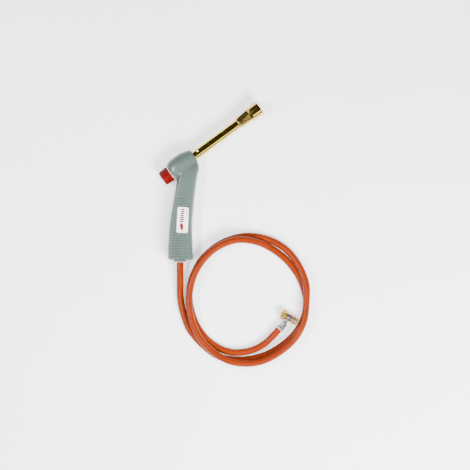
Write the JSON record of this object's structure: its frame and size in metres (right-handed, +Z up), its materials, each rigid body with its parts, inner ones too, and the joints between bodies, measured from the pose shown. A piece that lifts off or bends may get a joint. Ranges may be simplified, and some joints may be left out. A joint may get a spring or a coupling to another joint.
{
  "type": "lampwork torch",
  "caption": "Hand-held gas torch: pistol grip, flow knob behind the head, slim brass burner tube with a flared cup, and a rubber hose with a swivelling union nut.",
  "frame": {"origin": "middle of the torch's footprint, hose and fitting left out, on the surface it lies on", "axes": "+Z up from that surface, +Y from the foot of the grip towards the burner end, +X towards the hose's loop"},
  "size_m": [0.2421, 0.4233, 0.03],
  "materials": {
    "grey_plastic": "fine satin moulding, grey-green",
    "red_plastic": "gloss",
    "white_plastic": "smooth",
    "brass": "turned, satin",
    "burner_brass": "bright, yellow-passivated",
    "steel": "zinc plated",
    "hose_rubber": "smooth extruded, orange",
    "black_rubber": "matte",
    "copper": "drawn copper"
  },
  "bodies": {
    "torch": {"handle_shell_lower": "grey_plastic", "handle_shell_upper": "grey_plastic", "hose_gland": "grey_plastic", "label_plate": "white_plastic", "knob_washer": "white_plastic", "valve_body": "brass", "gland_nut": "brass", "gas_jet": "brass", "inlet_nipple": "brass", "banjo_bolt": "brass", "swivel_nipple": "brass", "flame_stabiliser": "brass", "burner_tube": "burner_brass", "burner_cup": "burner_brass", "shell_screw_1": "steel", "shell_screw_2": "steel", "shell_screw_3": "steel", "shell_screw_4": "steel", "crimp_ring": "steel", "jet_filter": "steel", "hose_ferrule": "steel", "banjo_tail": "steel", "nut_retaining_ring": "steel", "hose": "hose_rubber", "inner_hose_stub": "hose_rubber", "gas_pipe": "copper", "banjo_washer_nut_side": "copper", "banjo_washer_head_side": "copper"},
    "seal": {"spindle_o_ring": "black_rubber"},
    "knob_and_spindle": {"valve_knob": "red_plastic", "valve_spindle": "steel"},
    "nut": {"union_nut": "brass"}
  },
  "joints": [
    {"name": "spindle_lift", "type": "slide", "parent": "torch", "child": "seal", "axis": [-0.8059, -0.592, 0], "range_m": [0, 0.0015]},
    {"name": "valve_turn", "type": "hinge", "parent": "seal", "child": "knob_and_spindle", "pos_m": [-0.0646, 0.0133, 0.015], "axis": [-0.8059, -0.592, 0], "range_deg": [0, 540]},
    {"name": "union_nut_spin", "type": "hinge", "parent": "torch", "child": "nut", "pos_m": [0.11634, -0.2134, 0.0086], "axis": [0.866, -0.5, 0], "continuous": true}
  ],
  "couplings": [
    {"joint": "spindle_lift", "follows": "valve_turn", "m_per_rad": 0.000159}
  ]
}
